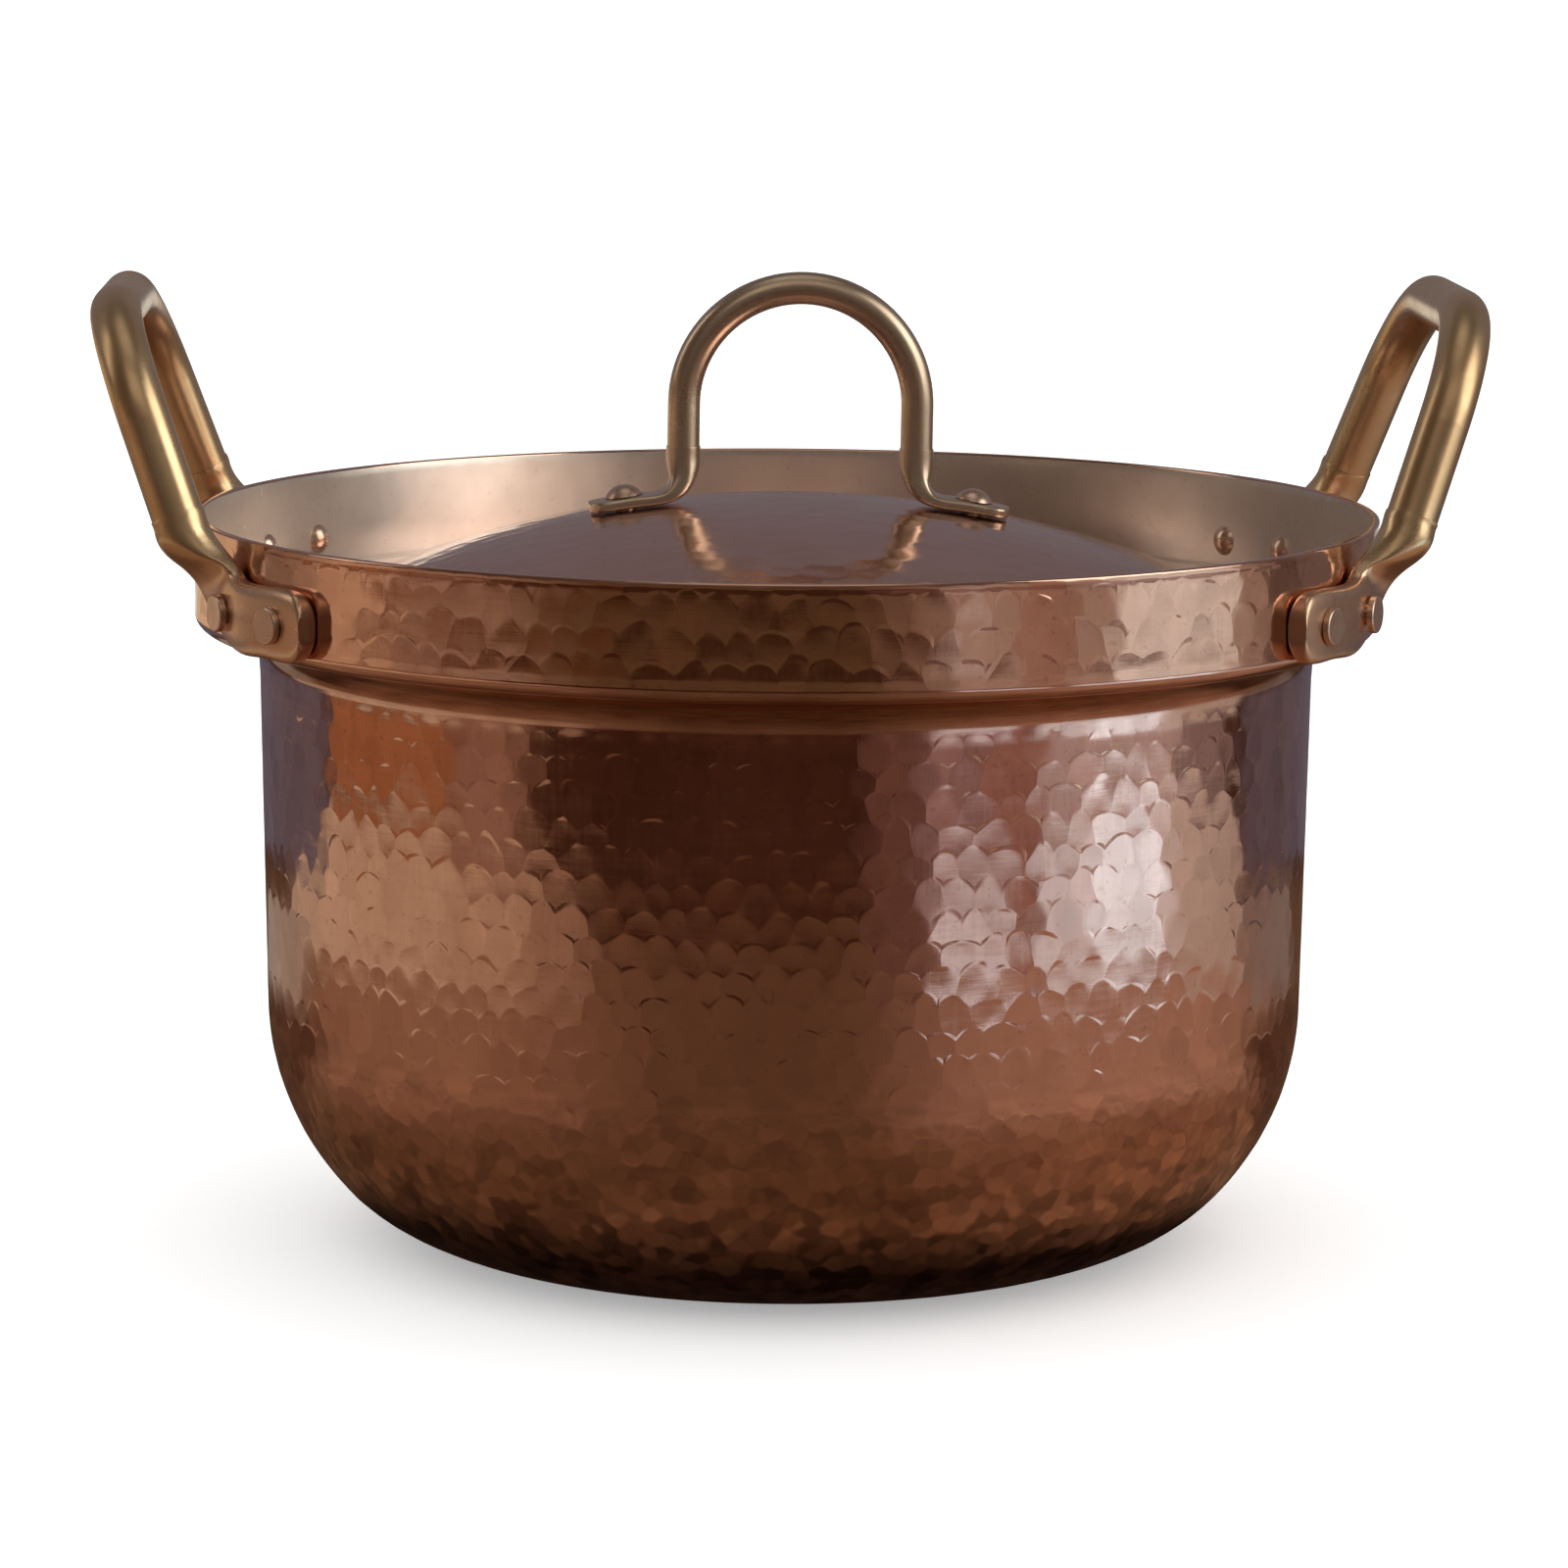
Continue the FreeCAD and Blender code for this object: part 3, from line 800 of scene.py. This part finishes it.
    @cached_property
    def loose(self) -> NodeTree:
        """Height of scattered shallow dishes, in metres, and a chance tone for each."""
        graph, given = new_group("loose_blows", ("Height", "Tone"), Size=0.007, Flat=0.06)
        scale = graph.math("DIVIDE", 1.0, given["Size"])
        cells = graph.node("TexVoronoi", {"Vector": graph.place(), "Scale": scale, "Smoothness": 0.5,
                                          "Randomness": 0.85}, feature="SMOOTH_F1")
        away = Value(graph, cells.outputs["Distance"]) * given["Size"]
        tone = graph.value("SeparateColor", {0: cells.outputs["Color"]})
        return graph.give(away * away / given["Flat"] * 0.5, tone)


# Finishes
@dataclass(frozen=True)
class HammeredFace:
    """How the faces of the blows show in the metal: rows above a height, loose blows below it, in metres."""

    rows: FaceRows | None = None
    loose_size: float = 0.0068
    loose_flat: float = 0.06
    loose_top: float = 0.0
    loose_fade: float = 0.003
    low: float = -1.0
    high: float = 1.0
    contrast: float = 0.0
    contrast_fade: float = 0.036
    mean_tone: float = 0.62

    def faces(self, graph: Graph, effects: Effects) -> tuple[Value, Value | float]:
        """Height of the faces in metres, and how light each loose face is.

        Args:
            graph: Graph of the material.
            effects: The shared effects.

        Returns:
            The height, and a factor for the colour.
        """
        height, tone = graph.use(effects.loose, Size=self.loose_size, Flat=self.loose_flat)
        factor = 1.0
        if self.rows is not None:
            rows = self.rows
            even = graph.use(effects.rows, Count=float(rows.count), Pitch=rows.pitch * MM,
                             First=(rows.low + rows.pitch / 2) * MM, Around=rows.around * 2 * MM,
                             Up=rows.up * 2 * MM, Lean=rows.lean, Wide=rows.wide * MM, Tall=rows.tall * MM,
                             Wander=rows.wander)[0]
            low = graph.use(effects.band, Low=-1.0, High=self.loose_top, Soft=self.loose_fade)[0]
            height = graph.between(low, even, height)
            fade = graph.use(effects.band, Low=-1.0, High=self.loose_top - self.contrast_fade / 2,
                             Soft=self.contrast_fade, Wander=0.008)[0]
            factor = (tone - self.mean_tone) * (fade * self.contrast) + 1.0
        kept = graph.use(effects.band, Low=self.low, High=self.high, Soft=0.003, Wander=0.0)[0]
        return height * kept, factor


@dataclass(frozen=True)
class MetalFinish:
    """Worn, hand-polished metal; its band paints shade in the collar's cove and tones the handles' pads."""

    name: str
    clean: Triple
    aged: Triple
    dark: Triple
    roughness: float = 0.12
    rough_spread: float = 0.08
    rub_spread: float = 0.04
    tarnish: float = 0.6
    tarnish_scale: float = 30.0
    fineness: float = 900.0
    polish: float = 0.02
    polish_depth: float = 0.0004
    spots: float = 0.25
    band: Triple = (0.5, 0.3, 0.2)
    band_low: float = -1.0
    band_high: float = -0.9
    band_soft: float = 0.004
    seed: float = 0.0
    hammered: HammeredFace | None = None

    def material(self, effects: Effects) -> Material:
        """New node-based material of this finish, made with the shared effects."""
        made = bpy.data.materials.new(self.name)
        made.use_nodes = True
        graph = Graph(made.node_tree)
        shader = made.node_tree.nodes["Principled BSDF"]
        shader.inputs["Metallic"].default_value = 1.0
        cloud, spot = graph.use(effects.patina, Scale=self.tarnish_scale, Seed=self.seed)
        polish, rub = graph.use(effects.polish, Fineness=self.fineness)
        # Band of colour between two heights: painted shade under the lip on the collar, a copper-brown tone
        # of the pads on the handles
        band = graph.use(effects.band, Low=self.band_low, High=self.band_high, Soft=self.band_soft)[0]
        colour = graph.blend(cloud * self.tarnish, self.clean, self.aged)
        colour = graph.blend(band, colour, self.band)
        colour = graph.blend(spot * self.spots, colour, self.dark)
        height = polish * (self.polish * self.polish_depth)
        if self.hammered is not None:
            faces, factor = self.hammered.faces(graph, effects)
            colour = graph.scaled(colour, factor)
            height = height + faces
        graph.feed(shader.inputs["Base Color"], colour)
        rough = rub * self.rub_spread + (cloud * self.rough_spread + self.roughness)
        graph.feed(shader.inputs["Roughness"], rough)
        bump = graph.value("Bump", {"Strength": 1.0, "Distance": 1.0, "Height": height})
        graph.feed(shader.inputs["Normal"], bump)
        return made


POT_COPPER = MetalFinish(
    "hammered_copper", clean=(0.82, 0.52, 0.41), aged=(0.70, 0.41, 0.30), dark=(0.42, 0.20, 0.12),
    roughness=0.06, rough_spread=0.04, tarnish=0.5,
    hammered=HammeredFace(rows=BELLY_ROWS, loose_size=0.0042, loose_flat=0.05, loose_top=0.053, low=0.002,
                          high=0.143, contrast=1.1))
# The collar's darker band over the cove and the ledge is painted shade under the lip's overhang
COLLAR_COPPER = replace(
    POT_COPPER, name="collar_copper", band=(0.40, 0.20, 0.12), band_low=0.1462, band_high=0.1545,
    hammered=HammeredFace(rows=COLLAR_ROWS, low=0.158, high=0.1805))
TINNED = MetalFinish(
    "worn_tinning", clean=(0.85, 0.82, 0.77), aged=(0.70, 0.61, 0.52), dark=(0.45, 0.33, 0.25),
    roughness=0.27, rough_spread=0.12, tarnish=0.7, tarnish_scale=18.0, polish=0.04, spots=0.2, seed=2.0)
LID_COPPER = MetalFinish(
    "lid_copper", clean=(0.80, 0.53, 0.44), aged=(0.66, 0.41, 0.32), dark=(0.40, 0.21, 0.14),
    roughness=0.10, spots=0.2, seed=3.0,
    hammered=HammeredFace(loose_size=0.006, loose_flat=0.10, low=0.1592))
HANDLE_BRASS = MetalFinish(
    "forged_brass", clean=(0.82, 0.61, 0.36), aged=(0.60, 0.39, 0.21), dark=(0.30, 0.17, 0.09),
    roughness=0.25, tarnish=0.7, tarnish_scale=28.0, polish=0.004, spots=0.1, band=(0.78, 0.52, 0.36),
    band_low=0.1, band_high=0.176, band_soft=0.01, seed=5.0)
LID_BRASS = MetalFinish(
    "lid_handle_brass", clean=(0.74, 0.60, 0.45), aged=(0.56, 0.42, 0.31), dark=(0.28, 0.18, 0.11),
    roughness=0.24, tarnish_scale=40.0, polish=0.004, spots=0.12, seed=8.0)
RIVET_METAL = MetalFinish(
    "rivet_copper", clean=(0.86, 0.64, 0.51), aged=(0.62, 0.42, 0.30), dark=(0.24, 0.13, 0.08),
    roughness=0.22, rough_spread=0.10, tarnish_scale=90.0, polish=0.01, spots=0.15, seed=9.0)


@dataclass(frozen=True)
class Hardware:
    """Handles and rivets, which keep their solid shapes; the first word found in a name gives the metal."""

    metals: tuple[tuple[str, MetalFinish], ...] = (("lid_handle", LID_BRASS), ("handle", HANDLE_BRASS),
                                                   ("rivet", RIVET_METAL))

    def dress(self, effects: Effects) -> None:
        """Give each node its metal, made with the shared effects."""
        made = {word: finish.material(effects) for word, finish in self.metals}
        for name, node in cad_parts.items():
            metal = next((made[word] for word in made if word in name), None)
            if metal is None:
                continue
            if not node.material_slots:
                node.data.materials.append(metal)
            for slot in node.material_slots:
                slot.material = metal
            log.info("dressed %s", name)


# Studio
@dataclass(frozen=True)
class Patch:
    """Soft-edged patch of light or shade: its turn in degrees, its ends, and how soft each edge is."""

    colour: Triple
    towards: float
    half_turn: float
    low: float
    high: float
    turn_soft: float
    soft: float


# Patches lie over the ones before them. Their ends are metres outwards on the card, degrees up in the room.
CARD = (
    # Near the pot, for the foot and the flank
    Patch((0.11, 0.06, 0.034), 0, 200, -1, 0.57, 6, 0.16),
    Patch((0.25, 0.145, 0.09), -78, 40, -1, 0.56, 50, 0.14),
    Patch((0.34, 0.21, 0.15), 72, 44, -1, 0.56, 44, 0.14),
    # Darker close in: painted shadow of the pot on the table
    Patch((0.1, 0.052, 0.027), 0, 200, -1, 0.2, 6, 0.14),
    Patch((0.2, 0.105, 0.058), 72, 44, -1, 0.22, 44, 0.14),
    # Warm light at the left of the belly
    Patch((0.28, 0.185, 0.125), -46, 8, 0.47, 0.64, 8, 0.04),
    Patch((0.41, 0.3, 0.21), -62, 11, 0.47, 0.655, 8, 0.04),
    Patch((0.47, 0.37, 0.27), -97, 28, 0.47, 0.71, 8, 0.04),
    Patch((0.25, 0.145, 0.1), -62, 9, 0.67, 1.05, 12, 0.03),
    Patch((0.28, 0.12, 0.052), -90, 19, 0.73, 1.05, 6, 0.04),
    # Cool light at the right of the belly
    Patch((0.125, 0.064, 0.05), 24, 8, 0.5, 1.05, 7, 0.06),
    Patch((0.24, 0.155, 0.148), 34, 7, 0.5, 1.05, 5, 0.05),
    Patch((0.25, 0.135, 0.11), 47, 7, 0.5, 1.05, 4, 0.04),
    Patch((0.36, 0.29, 0.33), 36, 8, 0.6, 0.72, 4, 0.03),
    Patch((0.66, 0.74, 0.86), 37, 8, 0.5, 0.65, 3, 0.02),
    Patch((0.41, 0.345, 0.35), 70, 18, 0.49, 1.05, 5, 0.04),
    Patch((0.66, 0.75, 0.86), 57, 7, 0.5, 0.71, 3, 0.02),
    Patch((0.58, 0.6, 0.62), 86, 6, 0.51, 0.8, 4, 0.03),
    Patch((0.88, 1.14, 1.38), 72, 9, 0.5, 0.775, 3, 0.02),
    Patch((0.22, 0.175, 0.18), 95, 9, 0.77, 1.05, 5, 0.04),
    Patch((0.44, 0.4, 0.37), 96, 11, 0.46, 0.76, 5, 0.03),
    # Shade behind the pot
    Patch((0.116, 0.1, 0.125), 180, 70, 0.6, 9, 8, 0.04),
    Patch((0.32, 0.26, 0.21), -132, 17, 0.37, 0.52, 8, 0.04),
    Patch((0.085, 0.042, 0.024), 180, 78, -1, 0.37, 18, 0.06),
    Patch((0.22, 0.18, 0.16), 122, 14, 0.4, 0.58, 8, 0.04),
    # Far from the pot, for the collar
    Patch((0.052, 0.025, 0.011), 0, 200, 1.1, 9, 6, 0.06),
    Patch((0.095, 0.057, 0.028), 0, 70, 1.34, 9, 10, 0.12),
    Patch((0.29, 0.2, 0.14), -80, 34, 1.12, 9, 30, 0.06),
    Patch((0.46, 0.315, 0.21), -87, 9, 1.14, 9, 8, 0.06),
    Patch((0.17, 0.11, 0.075), 24, 8, 1.12, 9, 10, 0.06),
    Patch((0.36, 0.285, 0.245), 64, 36, 1.12, 9, 16, 0.06),
    Patch((0.5, 0.46, 0.45), 32, 4, 1.12, 1.4, 3, 0.06),
    Patch((0.3, 0.2, 0.15), 48, 5, 1.12, 9, 5, 0.06),
    Patch((0.68, 0.74, 0.74), 76, 14, 1.14, 9, 5, 0.08),
    Patch((0.036, 0.015, 0.006), -6, 34, 1.12, 1.28, 16, 0.06),
    Patch((0.11, 0.048, 0.02), -48, 17, 1.12, 1.34, 8, 0.05),
    Patch((0.15, 0.062, 0.027), -73, 12, 1.28, 1.41, 6, 0.03),
    # Far behind the pot, for the inside of the collar
    Patch((0.75, 0.74, 0.72), 180, 62, 1.2, 9, 16, 0.08),
    Patch((0.8, 0.79, 0.77), 180, 28, 1.08, 9, 16, 0.06),
    Patch((0.6, 0.43, 0.27), -138, 22, 1.05, 9, 12, 0.06),
    Patch((0.15, 0.115, 0.1), 132, 26, 1.05, 9, 12, 0.06),
    # Shade under the pot
    Patch((0.012, 0.006, 0.004), 0, 200, -1, 0.118, 6, 0.03),
)
ROOM = (
    Patch((0.165, 0.145, 0.16), 180, 70, -5, 45, 20, 10),
    Patch((0.075, 0.042, 0.026), -75, 38, 0, 50, 12, 8),
    Patch((1.3, 1.2, 1.05), -98, 7, 10, 44, 6, 8),
    Patch((2.35, 2.27, 2.1), 73, 22, 0, 45, 10, 8),
    Patch((0.5, 0.46, 0.41), 0, 200, 72, 110, 6, 12),
    Patch((0.5, 0.42, 0.34), 0, 28, 30, 60, 16, 16),
)


@dataclass(frozen=True)
class Studio:
    """Pale floor, soft light, and the dim room that the metal mirrors."""

    floor_colour: Triple = (0.96, 0.96, 0.96)
    floor_glow: float = 0.34
    floor_size: float = 60.0
    floor_depth: float = 0.0002
    card_size: float = 40.0
    card_depth: float = 0.001
    card_base: Triple = (0.044, 0.017, 0.0086)
    card: tuple[Patch, ...] = CARD
    room_base: Triple = (0.10, 0.08, 0.07)
    room: tuple[Patch, ...] = ROOM

    @staticmethod
    def painted(graph: Graph, effects: Effects, place: tuple[Value, Value, Value], base: Triple,
                patches: tuple[Patch, ...]) -> Value:
        """Colour of the card or the room, with its patches laid over each other.

        Azimuths are nought towards the photograph's side and positive to its right.

        Args:
            graph: Graph of the material.
            effects: The shared effects.
            place: The x and y of a place, and the measure of its patches.
            base: Colour below the patches.
            patches: Patches in the order in which they are laid.

        Returns:
            The colour.
        """
        x, y, measure = place
        azimuth = graph.math("ARCTAN2", x, y * -1.0) * (180 / math.pi) + math.degrees(PHOTO_TURN)
        colour = base
        for patch in patches:
            sizes = {name.title(): float(size) for name, size in vars(patch).items() if name != "colour"}
            mask = graph.use(effects.patch, Azimuth=azimuth, Measure=measure, **sizes)[0]
            colour = graph.blend(mask, colour, patch.colour)
        return colour

    @staticmethod
    def grained(graph: Graph, colour: Value, place: tuple[Value, Value, Value], fineness: Point,
                depth: Value) -> Value:
        """Lighten and darken the card by a noise that follows azimuth and reach.

        Args:
            graph: Graph of the material.
            colour: Colour of the card.
            place: Its x, y and reach.
            fineness: How fine the noise is around the pot and outwards.
            depth: How strong it is.

        Returns:
            The new colour.
        """
        x, y, reach = place
        polar = graph.value("CombineXYZ", {0: x * fineness[0] / reach, 1: y * fineness[0] / reach,
                                           2: graph.math("LOGARITHM", reach, math.e) * fineness[1]})
        return graph.scaled(colour, (graph.noise(polar, 1.0, 4.0, 0.65) - 0.5) * depth + 1.0)

    @staticmethod
    def plane(name: str, surface: str, size: float, depth: float) -> tuple[Object, Graph]:
        """Lay a level square below the pot.

        Args:
            name: Name of the object.
            surface: Name of its material.
            size: Side in metres.
            depth: How far it lies below the pot's base.

        Returns:
            The object and the graph of its new material.
        """
        bpy.ops.object.select_all(action="DESELECT")
        bpy.ops.mesh.primitive_plane_add(size=size, location=(0, 0, -depth))
        square = bpy.context.active_object
        square.name = name
        made = bpy.data.materials.new(surface)
        made.use_nodes = True
        square.data.materials.append(made)
        return square, Graph(made.node_tree)

    def lay_card(self, effects: Effects) -> None:
        """Glowing card at floor level that only reflections see: painted light and shade of a table, made
        with the shared effects.
        """
        card, graph = self.plane("table_card", "table_card", self.card_size, self.card_depth)
        graph.tree.nodes.clear()
        x, y, _ = graph.split(graph.place())
        reach = graph.math("SQRT", x * x + y * y)
        place = (x, y, reach)
        colour = self.painted(graph, effects, place, self.card_base, self.card)
        # Each part runs from one reach to another, and from one depth of the grain to another
        even = graph.remap(reach, 0.25, 0.5, 1.9, 0.5) + graph.remap(reach, 1.0, 1.2, 0.0, 1.5)
        streaks = graph.remap(reach, 0.48, 0.60, 0.0, 1.5) - graph.remap(reach, 1.0, 1.2, 0.0, 1.1)
        colour = self.grained(graph, colour, place, (8.0, 8.0), even)
        colour = self.grained(graph, colour, place, (20.0, 1.5), streaks)
        graph.node("OutputMaterial", {0: graph.value("Emission", {0: colour})})
        for ray in ("camera", "diffuse", "transmission", "volume_scatter", "shadow"):
            setattr(card, "visible_" + ray, False)

    def lay_floor(self) -> None:
        """Pale floor that takes the pot's shadow."""
        floor, graph = self.plane("floor", "pale_floor", self.floor_size, self.floor_depth)
        shader = graph.tree.nodes["Principled BSDF"]
        glow = graph.value("LightPath", {}, "Is Camera Ray") * self.floor_glow
        for name, source in {"Base Color": self.floor_colour, "Roughness": 1.0, "Specular IOR Level": 0.0,
                             "Emission Color": (1.0, 1.0, 1.0), "Emission Strength": glow}.items():
            graph.feed(shader.inputs[name], source)
        floor.visible_glossy = False

    def light(self, effects: Effects) -> None:
        """White soft light all round; reflections see the dim room, made with the shared effects."""
        world = bpy.data.worlds.new("studio")
        bpy.context.scene.world = world
        world.use_nodes = True
        world.node_tree.nodes.clear()
        graph = Graph(world.node_tree)
        x, y, z = graph.split(graph.value("TexCoord", {}, "Generated"))
        rise = graph.math("ARCSINE", z) * (180 / math.pi)
        room = self.painted(graph, effects, (x, y, rise), self.room_base, self.room)
        colour = graph.blend(graph.value("LightPath", {}, "Is Glossy Ray"), (1.0, 1.0, 1.0), room)
        graph.node("OutputWorld", {0: graph.value("Background", {0: colour})})

    def build(self, effects: Effects) -> None:
        """Lay the floor and the card, and light them."""
        self.lay_floor()
        self.lay_card(effects)
        self.light(effects)
        log.info("studio ready")


@dataclass(frozen=True)
class PhotoCamera:
    """Camera at the photograph's place."""

    distance: float = 1.5
    look_height: float = 0.112345
    elevation: float = 0.1599
    turn: float = PHOTO_TURN
    roll: float = 0.0069
    focal_pixels: float = 6146.56
    image_pixels: float = 1600.0
    centre_x: float = 801.0
    sensor: float = 36.0

    def build(self) -> None:
        """Place the camera and make it the scene's."""
        data = bpy.data.cameras.new("camera")
        data.sensor_width = self.sensor
        data.lens = self.focal_pixels / self.image_pixels * self.sensor
        data.shift_x = (self.image_pixels / 2 - self.centre_x) / self.image_pixels
        data.clip_start = 0.05
        data.clip_end = 100.0
        camera = bpy.data.objects.new("camera", data)
        bpy.context.scene.collection.objects.link(camera)
        level = self.distance * math.cos(self.elevation)
        camera.location = (-level * math.sin(self.turn), -level * math.cos(self.turn),
                           self.look_height + self.distance * math.sin(self.elevation))
        aim = Vector((0, 0, self.look_height)) - camera.location
        turned = aim.to_track_quat("-Z", "Y").to_matrix() @ Matrix.Rotation(self.roll, 3, "Z")
        camera.rotation_euler = turned.to_euler()
        bpy.context.scene.camera = camera


def main() -> None:
    """Build the pot's pieces in order, dress them and set the studio."""
    logging.basicConfig(level=logging.INFO, format="%(message)s")
    effects = Effects()
    tinned = TINNED.material(effects)
    bowl = PotBowl("hammered_bowl", Body.POT, Slot.POT, outer_segments=720, inner_segments=180)
    collar = PotCollar("hammered_collar", Body.POT, Slot.POT, outer_segments=720, inner_segments=720)
    lid = Lid("hammered_lid", Body.LID, Slot.LID, outer_segments=480, inner_segments=240)
    for sheet, node, finish in ((bowl, "pot_body", POT_COPPER), (collar, "pot_body", COLLAR_COPPER),
                                (lid, "lid", LID_COPPER)):
        piece = sheet.build(finish.material(effects), tinned)
        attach(piece, sheet.body.value)
        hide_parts(node)
        log.info("%s: %d triangles", piece.name, sum(len(face.vertices) - 2 for face in piece.data.polygons))
    Hardware().dress(effects)
    Studio().build(effects)
    PhotoCamera().build()
    bpy.context.scene.view_settings.view_transform = "Standard"


if __name__ == "__main__":
    main()
